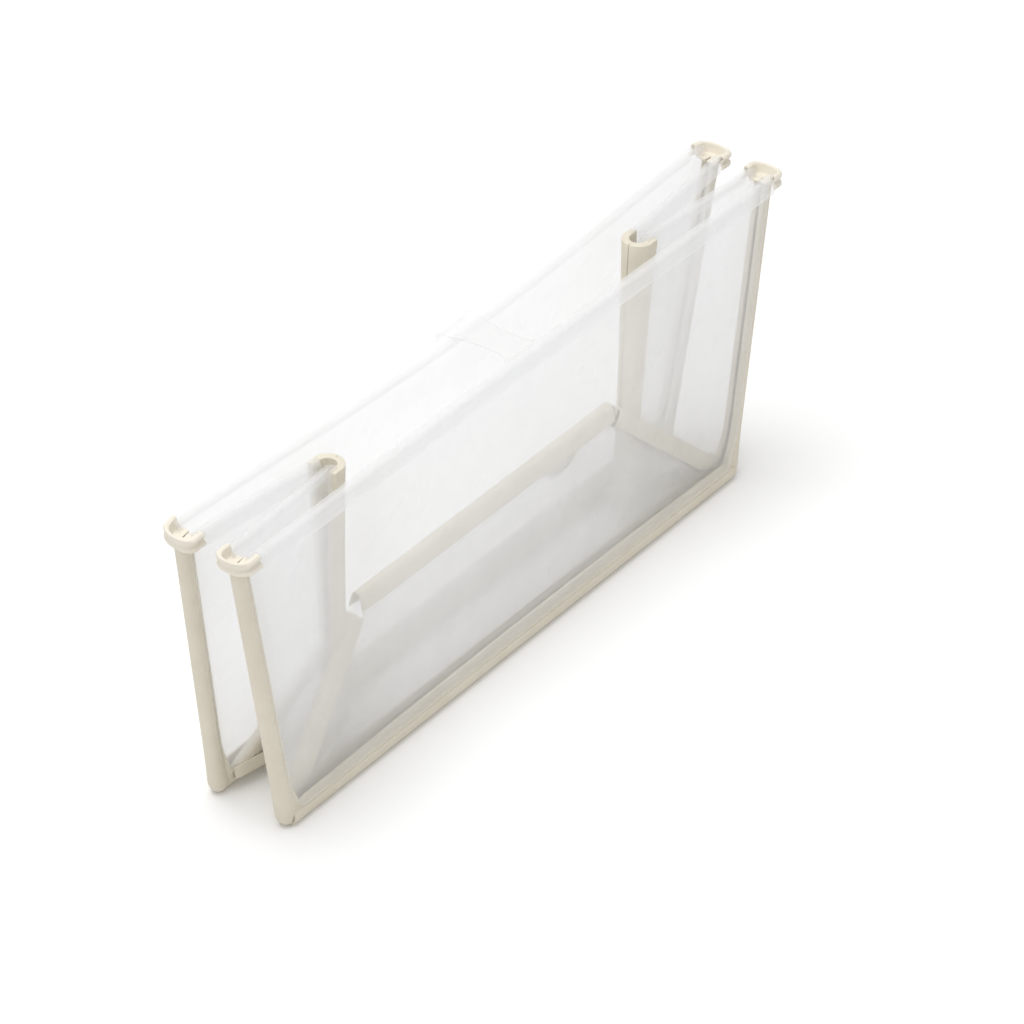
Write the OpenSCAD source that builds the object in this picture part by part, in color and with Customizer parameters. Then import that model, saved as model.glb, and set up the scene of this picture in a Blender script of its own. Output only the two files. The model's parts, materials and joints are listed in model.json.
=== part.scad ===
// Folding baby bathtub, folded flat and standing on its two long bottom hinges.
// Stiff panels are joined by soft hinge strips. Every panel is drawn in the frame of
// the hinge that it turns on, and the frames are set to their folded angles here.
// +X runs along the tub, +Z is up, the front wall faces -Y, and the origin is the
// centre of the footprint on the floor.

/* [Tub] */
// Half of the floor's length, from the middle to a corner
floor_half_l = 255; // [250:1:262]
// Half of the rim's length, from the middle to a corner hinge
rim_half_l = 295; // [292:1:302]
// Width of one floor half, from its bottom hinge to the floor's centre hinge
floor_half_w = 105; // [100:1:106]
// Height of the corner hinges above the bottom hinges
hinge_h = 229; // [220:1:234]
// Height of the bottom hinges above the ground
hinge_z = 7; // [6.8:0.1:7.2]

/* [Folded shape] */
// Distance from the middle plane to a bottom hinge
gap_bottom = 29; // [28.5:0.5:31]
// Distance from the middle plane to the top of a corner hinge
gap_top = 22.5; // [22:0.5:24]
// Angle between a long wall and an end panel at the bottom
end_angle_bottom = 12; // [11.6:0.1:12.2]
// Angle between a long wall and an end panel at the rim
end_angle_top = 3.4; // [3.2:0.1:3.6]

/* [Walls] */
// Thickness of the stiff panels
wall_t = 2.2; // [2:0.1:2.4]
// Distance of the panels' middle plane from a corner or bottom hinge line
hinge_offset = 5.8; // [5.7:0.1:6]
// Width of the rim's flange outside a long wall
rim_w = 8; // [6:0.5:9]
// Width of the rim's flange outside an end panel
end_rim_w = 6.4; // [5:0.2:6.6]
// Depth of the rim's skirt
skirt_h = 13; // [10:1:15]
// Inward bow of the rear rim at its middle
rear_bow = 12; // [6:1:13]
// Inward bow of the front rim at its middle
front_bow = 2; // [0:1:4]
// Distance along an end panel from its corner hinge to its free edge, at the bottom
end_len_bottom = 93.5; // [93:0.5:95]
// The same at the rim
end_len_top = 121; // [120:0.5:122]

/* [Soft strips] */
// Radius of a corner strip at the rim
corner_r_top = 7.2; // [6.8:0.1:7.3]
// Radius of a corner strip near the ground
corner_r_bottom = 8.6; // [8:0.1:8.7]
// Radius of a bottom strip
sill_r = 7.4; // [7.3:0.1:7.5]
// Radius of the floor's centre strip
floor_bead_r = 2.8; // [2.4:0.1:2.9]
// Radius of the floor's diagonal strips
diagonal_r = 1.7; // [1.4:0.1:1.8]
// Width of the flat lip that grips a floor panel beside its bead
floor_lip_w = 7; // [6:0.5:7]

/* [Latch and plug] */
// Width of the latch tongue at the front rim
latch_w_front = 24; // [18:1:28]
// Width of the latch tongue at the rear rim
latch_w_rear = 36; // [30:1:40]
// Distance of the plug from the middle of the tub
plug_x = 100; // [60:1:105]
// Diameter of the plug's head
plug_d = 34; // [30:1:36]

/* [Hidden] */
CORNERS = [["rear_left", 1, 0], ["rear_right", 0, 0], ["front_left", 1, 1], ["front_right", 0, 1]];
CORNER_PARTS = ["corner_strip", "rim_cap", "end_panel", "end_sill_strip", "end_centre_strip",
                "diagonal_strip", "gusset"];

$fn = 48;
FROSTED = [0.93, 0.94, 0.95, 0.75];
STRIP = [0.84, 0.81, 0.75];
CAP = [0.88, 0.86, 0.80];

lean = atan((gap_bottom - gap_top) / hinge_h);       // inward lean of a folded long wall
wall_hinge_h = norm([gap_bottom - gap_top, hinge_h]);
flare = atan((rim_half_l - floor_half_l) / wall_hinge_h); // tilt of a corner hinge
corner_len = norm([rim_half_l - floor_half_l, wall_hinge_h]);
rim_z = 233;            // height of the rim's top face up a long wall
plate_z0 = 6.4;         // lowest edge of a long wall above its hinge

// The floor's hinges: its middle plane passes under the bottom hinge, over the centre one
floor_drop = 2.5;       // middle plane below the bottom hinge when open
spine_drop = 4;         // centre hinge below the bottom hinge when open
spine_dist = norm([floor_half_w, spine_drop]);
floor_fold = acos(gap_bottom / spine_dist) + asin(spine_drop / spine_dist);
ridge_half_l = floor_half_l - 112;                    // end of the floor's centre hinge
diagonal_slope = (floor_half_l - ridge_half_l) / floor_half_w;

// ---------- frames, all for the rear right quarter ----------

module in_quarter(left, front)
    mirror([left, 0, 0]) mirror([0, front, 0]) children();

// Origin on the bottom hinge, z up the long wall, y outward
module wall_frame()
    translate([0, gap_bottom, hinge_z]) rotate([lean, 0, 0]) children();

// z up the corner hinge, the long wall on the -x side at +y, the end panel at -y
module corner_frame()
    wall_frame() translate([floor_half_l, 0, 0]) rotate([0, flare, 0]) children();

// The floor half as it lies when open: -y towards the centre hinge, z up
module floor_frame()
    translate([0, gap_bottom, hinge_z]) rotate([-floor_fold, 0, 0]) children();

// ---------- swept shells ----------

// Closed skin through a list of rings, each a loop of points, with flat end faces
module skin(rings) {
    n = len(rings[0]);
    m = len(rings);
    points = [for (r = rings) for (p = r) p];
    sides = [for (i = [0 : m - 2]) for (j = [0 : n - 1]) for (k = [0, 1])
        let (a = i * n + j, b = i * n + (j + 1) % n, c = a + n, d = b + n)
        k == 0 ? [a, b, d] : [a, d, c]];
    ends = [[for (j = [0 : n - 1]) n - 1 - j], [for (j = [0 : n - 1]) (m - 1) * n + j]];
    polyhedron(points, concat(sides, ends), convexity = 6);
}

// Outline of a wall with its rim: [distance outward, height] from the foot to the rim
function hook(height, foot, rim, t, rows) = concat(
    [for (i = [0 : rows]) [-t / 2, foot + (height - foot) * i / rows]],
    [[rim, height], [rim, height - skirt_h], [rim - 1.6, height - skirt_h],
     [rim - 1.6, height - 2.2]],
    [[t / 2, height - 2.2]],
    [for (i = [rows - 1 : -1 : 0]) [t / 2, foot + (height - foot) * i / rows]]);

// ---------- long walls ----------

// Half of a long wall's length at a height, where its corner strips begin
function wall_half_l(z) = floor_half_l - 8.7 + (rim_half_l - floor_half_l + 1.6) * z / wall_hinge_h;

function bow_at(x, z, bow) =
    bow * pow(max(0, cos(90 * x / rim_half_l)), 1.5) * pow(max(0, z) / rim_z, 1.5);

module long_wall(bow) {
    steps = 28;
    outline = hook(rim_z, plate_z0, rim_w, wall_t, 5);
    wall_frame() skin([for (i = [0 : steps]) let (w = 2 * i / steps - 1)
        [for (p = outline) let (x = w * wall_half_l(p[1]))
            [x, hinge_offset + p[0] - bow_at(x, p[1], bow), p[1]]]]);
}

module rear_wall() color(FROSTED) long_wall(rear_bow);
module front_wall() color(FROSTED) in_quarter(0, 1) long_wall(front_bow);

// ---------- end panels ----------

end_slope_bottom = -0.121;   // keeps the bottom edge level when the tub is open
end_slope_top = -0.19;       // keeps the rim nearly level folded and open

// An end panel is a little twisted: its rim lies closer to the long wall than its foot
function end_angle(z) =
    end_angle_bottom + (end_angle_top - end_angle_bottom) * pow(max(0, z) / corner_len, 1.3);

// A point on an end panel: distance r from the corner hinge, depth m outward, height z
function end_point(r, m, z) = let (a = end_angle(z), d = hinge_offset + m)
    [-r * cos(a) + d * sin(a), -r * sin(a) - d * cos(a), z];

// Distance from the corner hinge to the free edge at a height
function end_len(z) = end_len_bottom + (end_len_top - end_len_bottom) * z / corner_len;

// Outline of an end panel: [depth outward, share of the height, drop, 1 on the rim's flange].
// The flange is cut back at both ends, clear of the corner cap and of the centre strip.
end_outline = concat(
    [for (i = [0 : 5]) [-wall_t / 2, i / 5, 0, 0]],
    [[end_rim_w, 1, 0, 1], [end_rim_w, 1, -skirt_h, 1], [end_rim_w - 1.6, 1, -skirt_h, 1],
     [end_rim_w - 1.6, 1, -2.2, 1], [wall_t / 2, 1, -2.2, 0]],
    [for (i = [4 : -1 : 0]) [wall_t / 2, i / 5, 0, 0]]);
end_foot = 8.6;         // lowest edge of the panel above its gusset's hinge line

function end_height(r, share) =
    (1 - share) * (end_foot + end_slope_bottom * r)
    + share * (corner_len + 3.4 + end_slope_top * r);

module end_panel() {
    steps = 12;
    starts = [9.4, 16];         // of the panel and of its flange
    cuts = [0, 5];              // the flange ends this much sooner
    color(FROSTED) corner_frame() skin([for (i = [0 : steps]) [for (p = end_outline)
        let (length = end_len(end_height(60, p[1])) - cuts[p[3]],
             r = starts[p[3]] + (length - starts[p[3]]) * i / steps)
        end_point(r, p[0], end_height(r, p[1]) + p[2])]]);
}

// Round strip under an end panel, on the line that its gusset turns on
module end_sill_strip() {
    r0 = 32;
    r1 = end_len_bottom - 4;
    a = end_point(r0, -1, 4.6 + end_slope_bottom * r0);
    b = end_point(r1, -1, 4.6 + end_slope_bottom * r1);
    color(STRIP) corner_frame() rod(a, b, 3.4);
}

// Round rod, or cone, between two points
module rod(a, b, r) {
    d = b - a;
    translate(a) rotate([0, acos(d[2] / norm(d)), atan2(d[1], d[0])])
        cylinder(h = norm(d), r = r);
}

// Half of the soft strip that joins two end panels: a rod on its own hinge line
centre_foot_z = -8;
centre_head_z = corner_len + end_slope_top * end_len_top;
centre_foot = end_point(end_len(centre_foot_z) + 9.8, -1.6, centre_foot_z);
centre_head = end_point(end_len(centre_head_z) + 9.4, 3.6, centre_head_z);

module end_centre_strip()
    color(STRIP) corner_frame() rod(centre_foot, centre_head, 2.5);

// ---------- corner strips and caps ----------

module corner_strip() {
    foot_h = 9;
    profile = concat(
        [for (t = [0 : 10 : 90]) [corner_r_bottom * sin(t), 3 - foot_h * cos(t)]],
        [[corner_r_top, corner_len - 0.5], [0, corner_len - 0.5]]);
    color(STRIP) corner_frame() rotate_extrude() polygon(profile);
}

// The rim turned round the corner: a flattened quarter ring with a skirt, and a short leg
module rim_cap() {
    top = corner_len + 3.6;
    reach = corner_r_top + 2.4;                   // beyond the corner hinge, along the tub
    straight = hinge_offset + rim_w - reach;
    section = [[reach - 4.4, 0], [reach, 0], [reach, -skirt_h + 2], [reach - 1.8, -skirt_h + 2],
               [reach - 1.8, -2.4], [reach - 4.4, -2.4]];
    color(CAP) corner_frame() translate([0, straight, top]) union() {
        rotate_extrude(angle = 90) polygon(section);
        rotate([90, 0, 0]) linear_extrude(height = straight) polygon(section);
        translate([-6.4, 0, 0]) rotate([90, 0, 90]) linear_extrude(height = 6.5) polygon(section);
        translate([0, -straight, -2.4]) cylinder(h = 2.4, r = corner_r_top);
    }
}

// ---------- floor ----------

module floor_half() {
    near = 7.8;                                   // panel edge beside the bottom hinge
    far = floor_half_w - floor_bead_r - 3.2;      // panel edge beside the centre hinge
    inset = 10.5;                                 // panel edge beside the diagonal
    shift = inset * norm([1, diagonal_slope]);
    function edge(u) = floor_half_l - diagonal_slope * u - shift;
    translate([0, 0, -floor_drop - wall_t / 2]) linear_extrude(height = wall_t)
        polygon([[-edge(near), -near], [edge(near), -near], [edge(far), -far], [-edge(far), -far]]);
}

module front_floor() color(FROSTED) in_quarter(0, 1) floor_frame() floor_half();

module rear_floor() color(FROSTED) floor_frame() difference() {
    floor_half();
    translate([plug_x, -plug_u, -20]) cylinder(h = 40, r = plug_hole_r + 3);
}

module floor_centre_strip() {
    half_l = ridge_half_l - 2;
    color(STRIP) floor_frame() {
        translate([-half_l, -floor_half_w, -spine_drop]) rotate([0, 90, 0])
            cylinder(h = 2 * half_l, r = floor_bead_r);
        translate([-half_l + 8, -floor_half_w + 1, -floor_drop - 0.8])
            cube([2 * half_l - 16, 4.6, 1.6]);
    }
}

// Diagonal from the end of the centre hinge to the floor's corner, with a lip on the floor half
diagonal_start = 31;    // leaves room for the end panels' centre strips when folded

module diagonal_strip() {
    angle = atan(1 / diagonal_slope);
    len_all = norm([floor_half_w, floor_half_l - ridge_half_l]);
    color(STRIP) floor_frame() translate([ridge_half_l, -floor_half_w, -spine_drop])
        rotate([0, 0, angle]) {
            translate([diagonal_start, 0, 0]) rotate([0, 90, 0])
                cylinder(h = len_all - diagonal_start - 34, r = diagonal_r);
            translate([diagonal_start, 0.5, spine_drop - floor_drop - 0.8])
                cube([len_all - diagonal_start - 38, floor_lip_w, 1.6]);
        }
}

// Triangle between the diagonal, an end panel's foot and the middle plane, folded under
gusset_t = 1.5;
gusset_fold = 169.5;

module gusset() {
    angle = atan(1 / diagonal_slope);
    len_all = norm([floor_half_w, floor_half_l - ridge_half_l]);
    color(FROSTED) floor_frame() translate([ridge_half_l, -floor_half_w, -spine_drop])
        rotate([0, 0, angle]) rotate([gusset_fold, 0, 0])
            translate([0, 0, spine_drop - floor_drop - gusset_t / 2])
                linear_extrude(height = gusset_t)
                    polygon([[33, -5], [103, -5], [80, -40], [72, -39]]);
}

// ---------- bottom strips ----------

module sill_strip() {
    half_l = floor_half_l - corner_r_bottom - 1;
    translate([0, gap_bottom, 0]) intersection() {
        translate([-half_l, 0, hinge_z]) rotate([0, 90, 0]) cylinder(h = 2 * half_l, r = sill_r);
        translate([-half_l, -10, 0]) cube([2 * half_l, 20, 20]);
    }
}

module rear_sill_strip() color(STRIP) sill_strip();
module front_sill_strip() color(STRIP) in_quarter(0, 1) sill_strip();

// ---------- latch ----------

latch_front_y = -24;
latch_rear_y = 30;
latch_t = 2;
latch_z = 241;

// Tongue over both rims, flaring towards its free end
module latch_tongue() color(FROSTED) {
    translate([0, 0, latch_z]) linear_extrude(height = latch_t) polygon([
        [-latch_w_front / 2, latch_front_y], [latch_w_front / 2, latch_front_y],
        [latch_w_front / 2, 6], [latch_w_rear / 2, latch_rear_y - 6],
        [latch_w_rear / 2, latch_rear_y], [-latch_w_rear / 2, latch_rear_y],
        [-latch_w_rear / 2, latch_rear_y - 6], [-latch_w_front / 2, 6]]);
    translate([-latch_w_front / 2, latch_front_y, latch_z + latch_t / 2]) rotate([0, 90, 0])
        cylinder(h = latch_w_front, r = 1);
}

// Lip that drops behind the rear rim's skirt
module latch_hook() color(FROSTED)
    translate([-latch_w_rear / 2, latch_rear_y + 0.05, latch_z - 9])
        cube([latch_w_rear, 1.8, 9 + latch_t]);

// ---------- plug ----------

plug_u = 81;            // distance of the plug from the bottom hinge
plug_hole_r = plug_d / 2 - 4;

module at_plug() floor_frame() translate([plug_x, -plug_u, -floor_drop]) children();

module plug_seat() color(STRIP) at_plug() difference() {
    translate([0, 0, -1.8]) cylinder(h = 3.6, r = plug_hole_r + 2.7);
    translate([0, 0, -2.8]) cylinder(h = 5.6, r = plug_hole_r);
}

module drain_plug() color(STRIP) at_plug() {
    translate([0, 0, 2.1]) cylinder(h = 2.4, r = plug_d / 2);
    translate([0, 0, -1.2]) cylinder(h = 3.4, r = plug_hole_r - 0.4);
}

module plug_tab() color(STRIP) at_plug() translate([-7, -1.2, 4.6]) cube([14, 2.4, 4.6]);

// ---------- assembly ----------

rear_wall();
front_wall();
rear_floor();
front_floor();
rear_sill_strip();
front_sill_strip();
floor_centre_strip();
latch_tongue();
latch_hook();
plug_seat();
drain_plug();
plug_tab();
for (c = CORNERS) {
    in_quarter(c[1], c[2]) corner_strip();
    in_quarter(c[1], c[2]) rim_cap();
    in_quarter(c[1], c[2]) end_panel();
    in_quarter(c[1], c[2]) end_sill_strip();
    in_quarter(c[1], c[2]) end_centre_strip();
    in_quarter(c[1], c[2]) diagonal_strip();
    in_quarter(c[1], c[2]) gusset();
}
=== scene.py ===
import json
import math

import bpy
import numpy as np
from mathutils import Matrix, Vector


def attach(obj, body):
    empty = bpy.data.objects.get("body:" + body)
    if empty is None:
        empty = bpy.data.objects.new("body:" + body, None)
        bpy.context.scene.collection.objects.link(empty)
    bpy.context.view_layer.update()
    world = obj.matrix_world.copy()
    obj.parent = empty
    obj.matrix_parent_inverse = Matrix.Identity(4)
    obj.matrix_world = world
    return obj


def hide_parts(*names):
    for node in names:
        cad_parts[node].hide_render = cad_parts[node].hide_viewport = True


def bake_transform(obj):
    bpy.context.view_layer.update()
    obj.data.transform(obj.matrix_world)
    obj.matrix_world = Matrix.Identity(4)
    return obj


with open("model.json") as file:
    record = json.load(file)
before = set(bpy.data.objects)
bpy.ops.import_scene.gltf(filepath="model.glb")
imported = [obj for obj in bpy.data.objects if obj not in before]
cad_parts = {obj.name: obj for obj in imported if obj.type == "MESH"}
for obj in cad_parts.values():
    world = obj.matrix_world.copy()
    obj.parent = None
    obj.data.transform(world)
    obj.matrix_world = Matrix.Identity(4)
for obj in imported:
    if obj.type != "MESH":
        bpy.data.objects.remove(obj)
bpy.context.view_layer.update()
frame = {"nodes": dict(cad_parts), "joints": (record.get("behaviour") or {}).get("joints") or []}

# ---------- the tub's dimensions, in millimetres, as in the CAD ----------

MM = 0.001
PLATE = 2.2              # thickness of the stiff panels
SHEET = 2.0              # the same as drawn here, a little thinner than in the CAD
SHEET_EDGE = 0.45        # rounding of a panel's edges
OFFSET = 5.8             # a panel's middle plane from its corner or bottom hinge line
RIM_Z = 233              # top of the rim, up a long wall from its bottom hinge
RIM_W = 8                # reach of a long wall's flange
END_RIM_W = 6.4          # reach of an end panel's flange
SKIRT = 13               # depth of the rim's skirt
REAR_BOW, FRONT_BOW = 12, 2
CORNER_R_TOP, CORNER_R_BOTTOM = 7.2, 8.6
END_LEN_BOTTOM, END_LEN_TOP = 93.5, 121
END_ANGLE_BOTTOM, END_ANGLE_TOP = 12, 3.4
END_FOOT, END_HEAD = 8.6, 3.4          # an end panel's foot and rim, above its hinge's ends
END_FALL_BOTTOM, END_FALL_TOP = 0.121, 0.19  # how they fall away from the hinge
FOOT_TOP = 3             # where a corner strip's rounded foot begins
FLOOR_HALF_W = 105       # bottom hinge to the floor's centre hinge
FLOOR_DROP = 2.5         # floor's middle plane below its bottom hinge, when open
SPINE_DROP = 4           # centre hinge below the bottom hinge, when open
RIDGE_SHORT = 112        # the centre hinge ends this far inside the corner
GUSSET_FOLD = math.radians(169.5)      # a gusset's turn about its diagonal
WEB = 1.3                # thickness of the thinner soft webs
WEB_EDGE = 0.4           # rounding of a web's edges
WEB_R = 3.4              # middle of the ridge's and the diagonals' webs from their hinge lines

CORNERS = {
    "rear_right": (1, 1), "rear_left": (-1, 1), "front_right": (1, -1), "front_left": (-1, -1),
}
SIDES = {"rear": 1, "front": -1}


# ---------- frames: places on the hinges, drawn for the rear right quarter ----------

def joint(name):
    """Place in millimetres and unit axis of a joint at rest."""
    found = next(j for j in frame["joints"] if j["name"] == name)
    axis = np.array(found["axis"], float)
    return np.array(found["pos_m"], float) / MM, axis / np.linalg.norm(axis)


class Place:
    """A frame on a hinge: its origin, and its x, y and z axes as columns."""

    def __init__(self, origin, x, y, z):
        self.origin = np.array(origin, float)
        self.axes = np.array([x, y, z], float).T

    def __call__(self, x, y, z):
        return self.origin + self.axes @ np.array([x, y, z], float)


def unit(v):
    return np.array(v, float) / np.linalg.norm(v)


X_AXIS = np.array([1.0, 0.0, 0.0])
CORNER_AT, CORNER_AXIS = joint("rear_right_end_fold")
SILL_AT, _ = joint("rear_wall_lean")
SPINE_AT, _ = joint("floor_centre_fold")
OUTWARD = unit(np.cross(CORNER_AXIS, X_AXIS))
wall = Place(SILL_AT, X_AXIS, OUTWARD, np.cross(X_AXIS, OUTWARD))
corner = Place(CORNER_AT, np.cross(OUTWARD, CORNER_AXIS), OUTWARD, CORNER_AXIS)
FOLD = math.radians(next(j for j in frame["joints"] if j["name"] == "unfold")["range_deg"][1])
floor_half = Place(
    SILL_AT, X_AXIS,
    [0, math.cos(FOLD), -math.sin(FOLD)], [0, math.sin(FOLD), math.cos(FOLD)],
)

HALF_FLOOR = CORNER_AT[0]                      # corner hinge's foot from the middle
FLARE = math.acos(CORNER_AXIS @ wall.axes[:, 2])
WALL_HINGE_H = 229.1                           # corner hinge's head, up the wall
HALF_RIM = HALF_FLOOR + WALL_HINGE_H * math.tan(FLARE)
CORNER_LEN = WALL_HINGE_H / math.cos(FLARE)
HALF_RIDGE = HALF_FLOOR - RIDGE_SHORT
DIAGONAL_LEN = math.hypot(RIDGE_SHORT, FLOOR_HALF_W)
DIAGONAL_X = np.array([RIDGE_SHORT, FLOOR_HALF_W, 0]) / DIAGONAL_LEN
DIAGONAL_Y = np.array([-DIAGONAL_X[1], DIAGONAL_X[0], 0])


def on_diagonal(t, p, h):
    """A point t along the diagonal from the ridge's end, p towards the floor half, h above."""
    q = np.array([HALF_RIDGE, -FLOOR_HALF_W, -SPINE_DROP]) + t * DIAGONAL_X + p * DIAGONAL_Y
    return floor_half(q[0], q[1], q[2] + h)


def end_angle(z):
    """An end panel is a little twisted: its angle to the long wall shrinks with height."""
    share = max(0, z) / CORNER_LEN
    return math.radians(END_ANGLE_BOTTOM + (END_ANGLE_TOP - END_ANGLE_BOTTOM) * share ** 1.3)


def end_len(z):
    """Distance from the corner hinge to an end panel's free edge."""
    return END_LEN_BOTTOM + (END_LEN_TOP - END_LEN_BOTTOM) * z / CORNER_LEN


def on_end(r, m, z):
    """A point on an end panel: r from the corner hinge, m outward of its middle, z up the hinge."""
    a, d = end_angle(z), OFFSET + m
    return corner(-r * math.cos(a) + d * math.sin(a), -r * math.sin(a) - d * math.cos(a), z)


def bow(x, z, depth):
    """How far a long wall bows inward."""
    along = max(0.0, math.cos(math.pi / 2 * min(1.0, abs(x) / HALF_RIM)))
    return depth * along ** 1.5 * (max(0.0, z) / RIM_Z) ** 1.5


# ---------- mesh tools ----------

def flip(points, quarter):
    """Mirrors points from the rear right quarter into another."""
    return np.asarray(points, float) * np.array([quarter[0], quarter[1], 1.0])


def new_object(name, verts, faces, material):
    """An object from vertices in millimetres."""
    mesh = bpy.data.meshes.new(name)
    mesh.from_pydata([tuple(v * MM) for v in verts], [], faces)
    mesh.update()
    made = bpy.data.objects.new(name, mesh)
    bpy.context.scene.collection.objects.link(made)
    mesh.materials.append(material)
    return made


def settle(made, sharp=35):
    """Applies the modifiers and shades the result smooth, except along sharp edges."""
    graph = bpy.context.evaluated_depsgraph_get()
    mesh = bpy.data.meshes.new_from_object(made.evaluated_get(graph))
    made.modifiers.clear()
    made.data = mesh
    for polygon in mesh.polygons:
        polygon.use_smooth = True
    mesh.set_sharp_from_angle(angle=math.radians(sharp))
    return made


def sheet(name, rows, material, thick, quarter=(1, 1), edge=0.5, even=True):
    """A rounded sheet of even thickness through a grid of points, mirrored into its quarter."""
    grid = np.array([flip(r, quarter) for r in rows])
    m, n = grid.shape[:2]
    faces = []
    for i in range(m - 1):
        for j in range(n - 1):
            a = i * n + j
            b = a + 1
            face = (a, b, b + n, a + n)
            faces.append(face if quarter[0] * quarter[1] > 0 else face[::-1])
    made = new_object(name, grid.reshape(-1, 3), faces, material)
    solid = made.modifiers.new("thickness", "SOLIDIFY")
    solid.thickness = thick * MM
    solid.offset = 0
    solid.use_even_offset = even
    if edge:
        rounded = made.modifiers.new("edges", "BEVEL")
        rounded.width = edge * MM
        rounded.segments = 2
        rounded.limit_method = "ANGLE"
        rounded.angle_limit = math.radians(50)
    return settle(made)


def arc(cx, cy, r, start, end, steps):
    """Points of an arc in a plane, angles in degrees."""
    return [
        (cx + r * math.cos(math.radians(a)), cy + r * math.sin(math.radians(a)))
        for a in np.linspace(start, end, steps)
    ]


# ---------- materials ----------

def nodes_of(name):
    material = bpy.data.materials.new(name)
    material.use_nodes = True
    tree = material.node_tree
    tree.nodes.clear()
    return material, tree.nodes, tree.links


def fine_grain(nodes, links, scale, strength, distance):
    """A bump of fine moulded grain."""
    where = nodes.new("ShaderNodeTexCoord")
    grain = nodes.new("ShaderNodeTexNoise")
    grain.inputs["Scale"].default_value = scale
    grain.inputs["Detail"].default_value = 4
    links.new(where.outputs["Object"], grain.inputs["Vector"])
    bump = nodes.new("ShaderNodeBump")
    bump.inputs["Strength"].default_value = strength
    bump.inputs["Distance"].default_value = distance
    links.new(grain.outputs["Fac"], bump.inputs["Height"])
    return where, bump


def cloudy(nodes, links, where, scale, low, high):
    """A slow noise between two values."""
    noise = nodes.new("ShaderNodeTexNoise")
    noise.inputs["Scale"].default_value = scale
    noise.inputs["Detail"].default_value = 3
    links.new(where.outputs["Object"], noise.inputs["Vector"])
    between = nodes.new("ShaderNodeMapRange")
    between.inputs["From Min"].default_value = 0.3
    between.inputs["From Max"].default_value = 0.7
    between.inputs["To Min"].default_value = low
    between.inputs["To Max"].default_value = high
    links.new(noise.outputs["Fac"], between.inputs["Value"])
    return between.outputs["Result"]


def frosted_plastic():
    """Milky translucent polypropylene: part of the light passes straight, the rest scatters."""
    material, nodes, links = nodes_of("frosted_plastic")
    where, bump = fine_grain(nodes, links, 900, 0.05, 0.0004)
    body = nodes.new("ShaderNodeBsdfPrincipled")
    body.inputs["Base Color"].default_value = (0.945, 0.946, 0.948, 1)
    body.inputs["Specular IOR Level"].default_value = 0.4
    links.new(cloudy(nodes, links, where, 30, 0.26, 0.34), body.inputs["Roughness"])
    links.new(bump.outputs["Normal"], body.inputs["Normal"])
    glow = nodes.new("ShaderNodeBsdfTranslucent")
    glow.inputs["Color"].default_value = (0.965, 0.967, 0.97, 1)
    milk = nodes.new("ShaderNodeMixShader")
    milk.inputs["Fac"].default_value = 0.6
    links.new(body.outputs["BSDF"], milk.inputs[1])
    links.new(glow.outputs["BSDF"], milk.inputs[2])
    clear = nodes.new("ShaderNodeBsdfTransparent")
    clear.inputs["Color"].default_value = (0.985, 0.985, 0.985, 1)
    mix = nodes.new("ShaderNodeMixShader")
    links.new(cloudy(nodes, links, where, 14, 0.28, 0.34), mix.inputs["Fac"])
    links.new(clear.outputs["BSDF"], mix.inputs[1])
    links.new(milk.outputs["Shader"], mix.inputs[2])
    out = nodes.new("ShaderNodeOutputMaterial")
    links.new(mix.outputs["Shader"], out.inputs["Surface"])
    return material


def soft_rubber(name, colour, tint):
    """Matte thermoplastic rubber with a fine grain and slightly uneven colour."""
    material, nodes, links = nodes_of(name)
    where, bump = fine_grain(nodes, links, 1400, 0.12, 0.0003)
    body = nodes.new("ShaderNodeBsdfPrincipled")
    mix = nodes.new("ShaderNodeMix")
    mix.data_type = "RGBA"
    mix.inputs["A"].default_value = (*colour, 1)
    mix.inputs["B"].default_value = (*tint, 1)
    links.new(cloudy(nodes, links, where, 40, 0, 1), mix.inputs["Factor"])
    links.new(mix.outputs["Result"], body.inputs["Base Color"])
    links.new(cloudy(nodes, links, where, 90, 0.5, 0.62), body.inputs["Roughness"])
    links.new(bump.outputs["Normal"], body.inputs["Normal"])
    body.inputs["Specular IOR Level"].default_value = 0.3
    out = nodes.new("ShaderNodeOutputMaterial")
    links.new(body.outputs["BSDF"], out.inputs["Surface"])
    return material


FROSTED = frosted_plastic()
STRIP = soft_rubber("strip_rubber", (0.69, 0.645, 0.54), (0.65, 0.60, 0.495))
CAP = soft_rubber("cap_rubber", (0.78, 0.735, 0.64), (0.74, 0.69, 0.59))
PLUG = soft_rubber("plug_rubber", (0.66, 0.61, 0.51), (0.62, 0.57, 0.47))


def place_piece(piece, body, slot, *replaced):
    """Rides a rigid piece on its body and lets it stand for its CAD nodes."""
    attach(piece, body)
    if replaced:
        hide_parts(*replaced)


def bend_piece(piece, a, b, start, end, slot, *replaced):
    """Bakes a soft piece's placement into its mesh and hides the CAD nodes it stands for; the two
    bodies and the start and end, in millimetres, are not used.
    """
    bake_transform(piece)
    if replaced:
        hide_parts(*replaced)


def long_side(quarter):
    return "rear" if quarter[1] > 0 else "front"


def bend_at_corner(piece, name, quarter, reach, slot, replaced):
    """Hands a soft piece at a corner hinge to bend_piece, which bakes it in place and hides its CAD
    node.
    """
    across = reach * OUTWARD * np.array([1, quarter[1], 1])
    foot = flip(CORNER_AT, quarter)
    bend_piece(piece, long_side(quarter) + "_wall", name + "_end",
               foot + across, foot - across, slot, replaced)


# ---------- long walls ----------

def rim_line(reach, height):
    """Middle line of the rim, from the panel's top round the flange to the skirt's edge."""
    half, turn = SHEET / 2, 2.2
    return (
        [(0, height - 12), (0, height - 4)]
        + arc(turn, height - turn - half, turn, 180, 90, 5)
        + arc(reach - turn - 0.8, height - turn - half, turn, 90, 0, 5)
        + [(reach - 0.8, height - 7), (reach - 0.6, height - SKIRT + 0.5)]
    )


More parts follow.
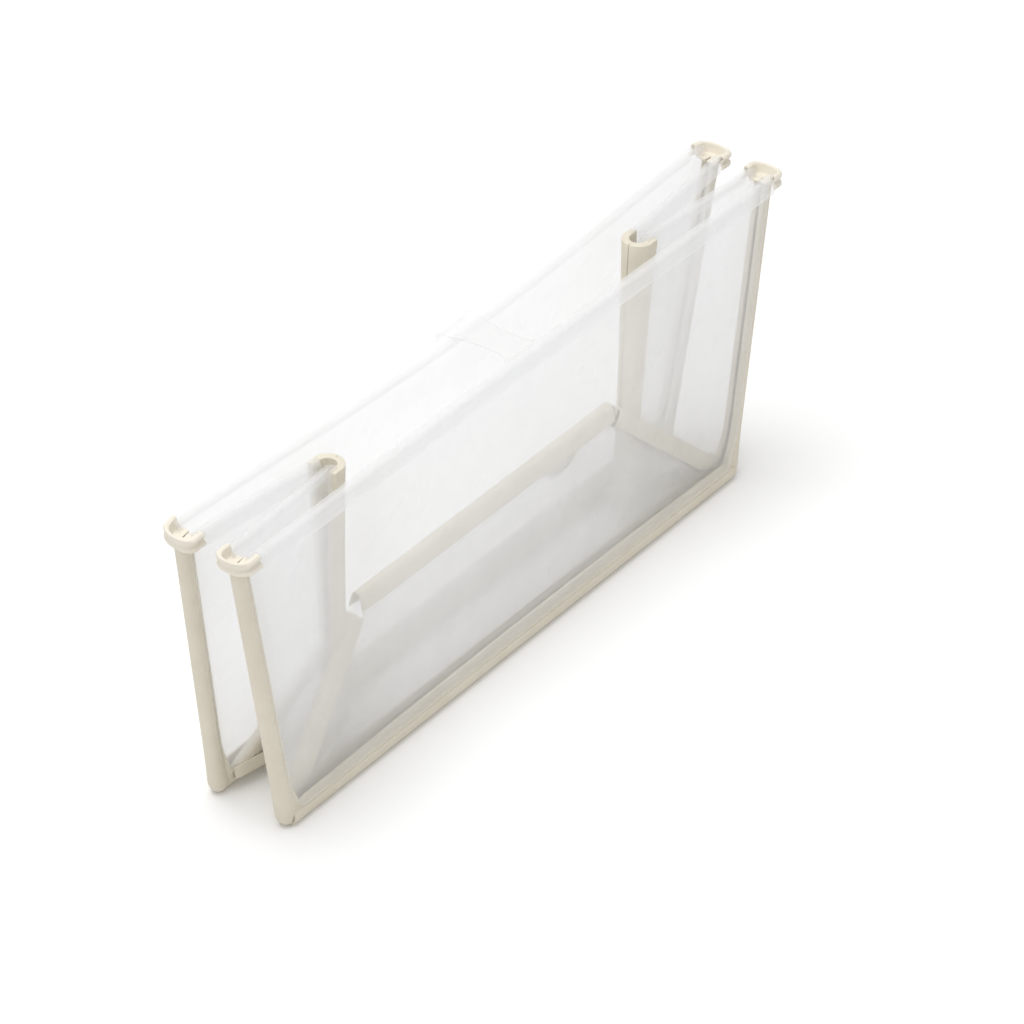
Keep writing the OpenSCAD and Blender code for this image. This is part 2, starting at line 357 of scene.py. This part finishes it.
def crease_height(x):
    """Height of the arched crease near a long wall's foot, up the wall."""
    ends, rise, half_span = 5.5, 18, 235
    return ends + rise * max(0.0, math.cos(math.pi / 2 * min(1.0, abs(x) / half_span)))


def edge_inset(z):
    """How far a stiff panel's edge stays inside its corner hinge: more at its rounded foot."""
    straight, extra, height = 1.3, 7.2, 30
    return straight + extra * max(0.0, 1 - max(0, z - 5) / height) ** 2


def long_wall(name, front_sign, depth):
    """A long wall with its rim as one sheet; below the crease it stands out by a step."""
    stations, foot, step = 72, 5.0, 0.8
    slope = (HALF_RIM - HALF_FLOOR) / WALL_HINGE_H
    columns = []
    for i in range(stations + 1):
        w = 2 * i / stations - 1
        crease = crease_height(w * (HALF_FLOOR - 8))
        low = [(step, foot), (step, foot + 0.5 * (crease - foot)), (step, crease - 0.2),
               (0.0, crease + 1.2), (0.0, crease + 2.5)]
        low += [(0.0, z) for z in np.linspace(crease + 9, RIM_Z - 22, 14)]
        points = [(n, z, edge_inset(z)) for n, z in low]
        points += [(n, z, 2 + 4.2 * min(1, max(0, n - 3) / 2)) for n, z in rim_line(RIM_W, RIM_Z)]
        column = []
        for n, z, inset in points:
            x = w * (HALF_FLOOR + slope * z - inset)
            column.append(wall(x, OFFSET + n - bow(x, z, depth), z))
        columns.append(column)
    made = sheet(name + "_panel", columns, FROSTED, SHEET, (1, front_sign), edge=SHEET_EDGE)
    place_piece(made, name, "frosted_plastic", name)


for side, sign in SIDES.items():
    long_wall(side + "_wall", sign, REAR_BOW if sign > 0 else FRONT_BOW)


# ---------- end panels ----------

def end_height(r, share):
    """Height of a point on an end panel: 0 is its foot and 1 its rim."""
    foot, rim = END_FOOT - END_FALL_BOTTOM * r, CORNER_LEN + END_HEAD - END_FALL_TOP * r
    return (1 - share) * foot + share * rim


def end_panel(name, quarter):
    """Half of an end wall with its rim, as one sheet."""
    steps = 26
    columns = []
    rim = rim_line(END_RIM_W, 0)
    for i in range(steps + 1):
        s = i / steps
        column = []
        for share in np.linspace(0, 0.92, 14):
            z = end_height(60, share)        # at about the middle of the panel
            first = edge_inset(z) - 0.6
            r = first + (end_len(z) - first) * s
            column.append(on_end(r, 0, end_height(r, share)))
        for m, drop in rim:
            out = min(1.0, m / (END_RIM_W - 3))
            start, stop = 2 + 3.6 * out, END_LEN_TOP - 1.5 - 3.5 * out
            r = start + (stop - start) * s
            column.append(on_end(r, m, end_height(r, 1) + drop))
        columns.append(column)
    made = sheet(name + "_panel", columns, FROSTED, SHEET, quarter, edge=SHEET_EDGE)
    place_piece(made, name, "frosted_plastic", name + "_panel")


# ---------- corner strips and caps ----------

def corner_radius(z):
    share = max(0, z - FOOT_TOP) / (CORNER_LEN - FOOT_TOP)
    return CORNER_R_BOTTOM + (CORNER_R_TOP - CORNER_R_BOTTOM) * share


def corner_row(z, reach, side, leg, flat):
    """A row round the corner hinge: a leg behind the long wall, the bead, a leg behind the end.

    The bead stands out by reach along the tub and by side to both sides; leg is the
    length of the legs, and flat their distance from the corner hinge.
    """
    squareness = 0.75
    turn = end_angle(z)
    row = [corner(-leg * k, flat, z) for k in (1, 0.6, 0.3)]
    for a in np.linspace(math.pi / 2, -math.pi / 2, 19):
        c, s = abs(math.cos(a)) ** squareness, abs(math.sin(a)) ** squareness
        y = math.copysign(side * s, math.sin(a))
        tilt = turn * max(0.0, -math.sin(a))
        x = reach * c
        row.append(corner(x * math.cos(tilt) + y * math.sin(tilt),
                          y * math.cos(tilt) - x * math.sin(tilt), z))
    row += [on_end(leg * k, flat - OFFSET, z) for k in (0.3, 0.6, 1)]
    return row


def corner_strip(name, quarter):
    """The soft hinge of a corner, with a rounded foot that widens over the panels' feet."""
    half, foot_h, widening = 1.9, 8.4, 34
    rows = []
    for t in np.radians([24, 34, 45, 56, 68, 80]):
        k = math.sin(t)
        rows.append(corner_row(FOOT_TOP - foot_h * math.cos(t),
                               (corner_radius(FOOT_TOP) - half) * k, 4.6 * k, 2 + 8 * k, 3.6 * k))
    for z in np.linspace(FOOT_TOP, CORNER_LEN - 4.8, 24):
        wider = max(0.0, 1 - (z - FOOT_TOP) / widening) ** 1.5
        rows.append(corner_row(z, corner_radius(z) - half, 3.6 + 1.1 * wider, 3 + 7 * wider,
                               3.1 + 0.5 * wider ** 2))
    made = sheet(name + "_corner_web", rows, STRIP, 2 * half, quarter, edge=0.5, even=False)
    bend_at_corner(made, name, quarter, 7.5, "strip_rubber", name + "_corner_strip")


def rim_cap(name, quarter):
    """Soft lip that carries the rim round a corner, with a groove along its side."""
    top = CORNER_LEN + 3.5
    wall_leg, end_leg = 6.5, 6
    # (distance from the hinge across the tub, height): the floor, the lip, the grooved side
    section = [(0.6, -7.6), (5.6, -7.8), (8.4, -7.2), (9.6, -5.0), (9.8, -2.0), (10.5, -0.5),
               (11.6, 0.0), (12.8, -0.3), (13.6, -1.3), (13.4, -2.6), (12.3, -3.6),
               (12.0, -5.0), (12.6, -6.4), (13.9, -7.2), (14.2, -8.5), (13.4, -9.6)]
    rows = []
    for r, h in section:
        z = top + h
        across = r - 5.2 * (r / 14.2) ** 2         # the cap is flattened along the tub
        outer = r * 0.97
        row = [corner(-wall_leg * k, outer + 0.6 * k * (r > 9), z) for k in (1, 0.5)]
        for a in np.linspace(math.pi / 2, -math.pi / 2 + end_angle(z), 21):
            power = 1.0 if a > 0 else 0.7
            x, y = across * math.cos(a) ** power, math.sin(a)
            row.append(corner(x, outer * y if a > 0 else -r * abs(y) ** power, z))
        for k in (0.5, 1):
            row.append(on_end(end_leg * k, r - 0.5 * k - OFFSET, z - k))
        rows.append(row)
    made = sheet(name + "_cap", rows, CAP, 1.5, quarter, edge=0.45, even=False)
    bend_at_corner(made, name, quarter, 8.5, "cap_rubber", name + "_rim_cap")


# ---------- strips at the middle of the end walls ----------

def end_centre_strip(name, quarter):
    """Half of the soft strip between two end panels, from the middle plane to a leg on one."""
    rows = []
    seam = 0.05                                    # gap to the middle plane
    for z in np.linspace(-6, CORNER_LEN - END_FALL_TOP * END_LEN_TOP + 0.5, 24):
        edge = on_end(end_len(z), 0, z)
        leg_start = on_end(end_len(z) - 1, -1, z)
        leg_end = on_end(end_len(z) - 6, -1, z)
        share = max(0, z) / CORNER_LEN
        wide = leg_start[1] + 0.3 * share
        deep = 6.2 + 3 * share
        centre_x = edge[0] - 1.5
        row = []
        for a in np.linspace(0, math.pi * 0.56, 12):
            row.append([centre_x - deep * math.cos(a), seam + wide * math.sin(a), edge[2]])
        for leg in (leg_start, 0.5 * (leg_start + leg_end), leg_end):
            row.append([*leg[:2], edge[2]])
        rows.append(row)
    made = sheet(name + "_centre_web", rows, STRIP, 5.4, quarter, edge=0.9, even=False)
    hinge, _ = joint(name + "_end_centre_fold")
    along = np.array([-quarter[0] * 6.0, -quarter[1] * 5.0, 0])
    bend_piece(made, name + "_end", name + "_end_centre", hinge - along, hinge + along,
               "strip_rubber", name + "_end_centre_strip")


def end_sill_strip(name, quarter):
    """Rounded strip that grips an end panel's foot."""
    bead_r, grip, top = 2.6, 1.75, 9.0
    rows = []
    for r in np.linspace(8, END_LEN_BOTTOM - 3, 22):
        z0 = 4.2 - END_FALL_BOTTOM * r
        ends = 1.0 if 10 < r < END_LEN_BOTTOM - 5 else 0.75
        line = [(grip, top)] + arc(0, 0, bead_r * ends, 20, -200, 12) + [(-grip, top)]
        rows.append([on_end(r, m, z0 + h) for m, h in line])
    made = sheet(name + "_foot_web", rows, STRIP, WEB, quarter, edge=WEB_EDGE)
    place_piece(made, name + "_end", "strip_rubber", name + "_end_sill_strip")


# ---------- the floor's hinges ----------

def sill_web(side, sign):
    """The bottom hinge: one soft leg up the long wall, one up the folded floor half."""
    half_l = HALF_FLOOR + 1
    xs = np.linspace(-half_l, half_l, 75)
    thick = 1.6
    end_taper = 14
    under = FLOOR_DROP + PLATE / 2 + 0.9           # inner leg from the hinge, under the floor

    def outer(x):
        """Height of the outer leg, which falls towards the corners."""
        fall = (abs(x) / half_l) ** 2 + max(0.0, abs(x) - half_l + end_taper) / end_taper
        return 9.5 - 3.5 * fall

    def foot(x, y, z):
        """A point off the hinge line, kept on or above the ground."""
        p = SILL_AT + np.array([x, y, z])
        return np.array([p[0], p[1], max(p[2], thick / 2 + 0.02)])

    rows = []
    for x in xs:
        row = [wall(x, OFFSET - 1.4, z) for z in (outer(x) + 4, outer(x), 5)]
        row.append(wall(x, OFFSET - 0.4, 3.1))
        for a in np.radians(np.linspace(24, -90, 12)):
            row.append(foot(x, 7.4 * math.cos(a), 7.1 * math.sin(a)))
        rows.append(row)
    made = sheet(side + "_sill_outer_web", rows, STRIP, thick, (1, sign), edge=WEB_EDGE)
    at, up = flip(SILL_AT, (1, sign)), np.array([0, 0, 5.0])
    bend_piece(made, side + "_sill", side + "_wall", at - up, at + up,
               "strip_rubber", side + "_sill_strip")
    rows = []
    normal = -floor_half.axes[:, 2]
    last = math.atan2(normal[2], normal[1]) - 2 * math.pi * (normal[2] > 0)
    for x in xs:
        row = []
        for k in np.linspace(0, 1, 10):
            a = -math.pi / 2 + (last + math.pi / 2) * k
            r = 6.9 + (under - 6.9) * k
            row.append(foot(x, r * math.cos(a), r * math.sin(a)))
        for u in (4, 8, 11.5):
            row.append(floor_half(x * (1 - u / 600), -u, -under))
        rows.append(row)
    made = sheet(side + "_sill_inner_web", rows, STRIP, thick, (1, sign), edge=WEB_EDGE)
    low = flip(SILL_AT + np.array([0, 0, -6.5]), (1, sign))
    high = flip(SILL_AT + normal * 4.2, (1, sign))
    bend_piece(made, "rear_sill" if sign > 0 else "front_wall", side + "_floor",
               low, high, "strip_rubber")


def ridge_web():
    """The strip along the floor's centre hinge, over the top of the folded ridge."""
    rows = []
    normal = floor_half.axes[:, 2]
    first = math.atan2(normal[2], normal[1])
    for x in np.linspace(-HALF_RIDGE - 1, HALF_RIDGE + 1, 41):
        half = [floor_half(x, -FLOOR_HALF_W + u, -SPINE_DROP + WEB_R) for u in (11, 7, 3)]
        row = list(half)
        for a in np.linspace(first, math.pi - first, 13):
            row.append(SPINE_AT + np.array([x, WEB_R * math.cos(a), WEB_R * math.sin(a)]))
        row += [p * np.array([1, -1, 1]) for p in half[::-1]]
        rows.append(row)
    made = sheet("floor_ridge_web", rows, STRIP, WEB, (1, 1), edge=WEB_EDGE)
    across = np.array([0, 4.0, 0])
    bend_piece(made, "rear_floor", "front_floor", SPINE_AT + across, SPINE_AT - across,
               "strip_rubber", "floor_centre_strip")


def diagonal_web(name, quarter):
    """The strip on a diagonal, from a leg on the floor half over the fold to the gusset."""
    turned_x, turned_y = math.cos(GUSSET_FOLD), math.sin(GUSSET_FOLD)
    rows = []
    for t in np.linspace(12, DIAGONAL_LEN - 14, 34):
        leg = 10.5 * min(1.0, (DIAGONAL_LEN - 8 - t) / 20)
        row = [on_diagonal(t, leg * k, WEB_R) for k in (1, 0.6, 0.25)]
        for a in np.linspace(math.pi / 2, math.pi / 2 + GUSSET_FOLD, 13):
            row.append(on_diagonal(t, WEB_R * math.cos(a), WEB_R * math.sin(a)))
        for p in (-2.1, -4.55, -7):                # the leg on the turned gusset
            row.append(on_diagonal(t, p * turned_x - WEB_R * turned_y,
                                   p * turned_y + WEB_R * turned_x))
        rows.append(row)
    made = sheet(name + "_diagonal_web", rows, STRIP, WEB, quarter, edge=WEB_EDGE)
    middle = on_diagonal(70, 0, 0)
    up = on_diagonal(70, 0, 4.2) - middle
    bend_piece(made, long_side(quarter) + "_floor", name + "_gusset",
               flip(middle + up, quarter), flip(middle - up, quarter),
               "strip_rubber", name + "_diagonal_strip")


# ---------- the latch ----------

def latch_strap():
    """A translucent strap from the front rim over the rear one, with a lip behind it."""
    # (place across the tub, height, half of the width), from the front rim to the lip
    path = [(-27.5, 241.0, 19), (-25.5, 241.5, 15.5), (-22, 241.9, 13), (-14, 242, 12),
            (-6, 242, 12), (2, 242, 12.3), (9, 242, 13.6), (16, 242, 15.8), (23, 242, 17.6),
            (28.4, 242, 18)]
    path += [(y, z, 18) for y, z in arc(28.6, 239.8, 2.2, 75, 0, 6)]
    path += [(30.95, 237, 18), (31.1, 233.4, 17.4)]
    rows = []
    for y, z, half in path:
        rows.append([np.array([half * w, y, z]) for w in np.linspace(-1, 1, 15)])
    made = sheet("latch_strap", rows, FROSTED, 1.9, (1, 1), edge=0.6)
    place_piece(made, "latch", "frosted_plastic", "latch_tongue", "latch_hook")


for side, sign in SIDES.items():
    sill_web(side, sign)
ridge_web()
latch_strap()

for name, quarter in CORNERS.items():
    end_panel(name + "_end", quarter)
    corner_strip(name, quarter)
    rim_cap(name, quarter)
    end_centre_strip(name, quarter)
    end_sill_strip(name, quarter)
    diagonal_web(name, quarter)


def cad_material(node):
    if "plug" in node:
        return PLUG
    return FROSTED if "gusset" in node or "_floor" in node else STRIP


# The floor halves, the gussets and the plug are drawn as in the CAD, with softened edges
for node, owner in frame["nodes"].items():
    material = cad_material(node)
    owner.data.materials.clear()
    owner.data.materials.append(material)
    if not owner.hide_render:
        soft = owner.modifiers.new("edges", "BEVEL")
        soft.width = 0.4 * MM
        soft.segments = 2
        soft.limit_method = "ANGLE"
        soft.angle_limit = math.radians(40)


# ---------- stage, light and camera ----------

def stage():
    floor = new_object(
        "stage_floor", np.array([[-4, -4, 0], [4, -4, 0], [4, 4, 0], [-4, 4, 0]]) / MM,
        [(0, 1, 2, 3)], stage_material())
    world = bpy.data.worlds.new("studio")
    world.use_nodes = True
    back = world.node_tree.nodes["Background"]
    back.inputs["Color"].default_value = (1, 1, 1, 1)
    back.inputs["Strength"].default_value = 0.68
    bpy.context.scene.world = world


def stage_material():
    material, nodes, links = nodes_of("stage_white")
    body = nodes.new("ShaderNodeBsdfPrincipled")
    body.inputs["Base Color"].default_value = (0.93, 0.93, 0.93, 1)
    body.inputs["Roughness"].default_value = 0.9
    body.inputs["Specular IOR Level"].default_value = 0.0
    out = nodes.new("ShaderNodeOutputMaterial")
    links.new(body.outputs["BSDF"], out.inputs["Surface"])
    return material


def softbox(name, place, aim, size, power):
    data = bpy.data.lights.new(name, "AREA")
    data.shape = "RECTANGLE"
    data.size, data.size_y = size
    data.energy = power
    lamp = bpy.data.objects.new(name, data)
    lamp.location = place
    lamp.rotation_mode = "QUATERNION"
    lamp.rotation_quaternion = (Vector(aim) - Vector(place)).to_track_quat("-Z", "Y")
    bpy.context.scene.collection.objects.link(lamp)


def camera():
    azimuth, elevation, roll = (math.radians(a) for a in (-54.0, 35.3, 1.16))
    back = Vector((math.sin(azimuth) * math.cos(elevation),
                   -math.cos(azimuth) * math.cos(elevation), math.sin(elevation)))
    right = (-back).cross(Vector((0, 0, 1))).normalized()
    up = right.cross(-back)
    target = Vector((0, 0, 0.100)) + right * 0.0185 - up * 0.0016
    turned_right = right * math.cos(roll) + up * math.sin(roll)
    turned_up = up * math.cos(roll) - right * math.sin(roll)
    data = bpy.data.cameras.new("camera")
    data.lens = 191.36
    data.sensor_width = 36
    data.clip_start, data.clip_end = 0.1, 50
    made = bpy.data.objects.new("camera", data)
    axes = Matrix((turned_right, turned_up, back)).transposed()
    made.matrix_world = Matrix.Translation(target + back * 3.74) @ axes.to_4x4()
    bpy.context.scene.collection.objects.link(made)
    bpy.context.scene.camera = made


stage()
softbox("key", (-0.4, 0.4, 2.8), (0, 0, 0.1), (1.8, 1.8), 48)
softbox("fill", (-2.2, -1.6, 1.8), (0, 0, 0.1), (1.4, 1.4), 5)
camera()

view = bpy.context.scene.view_settings
view.view_transform = "Standard"
view.look = "None"
bpy.context.scene.cycles.transparent_max_bounces = 40
bpy.context.scene.cycles.max_bounces = 16
bpy.context.scene.cycles.diffuse_bounces = 8
bpy.context.scene.cycles.transmission_bounces = 12
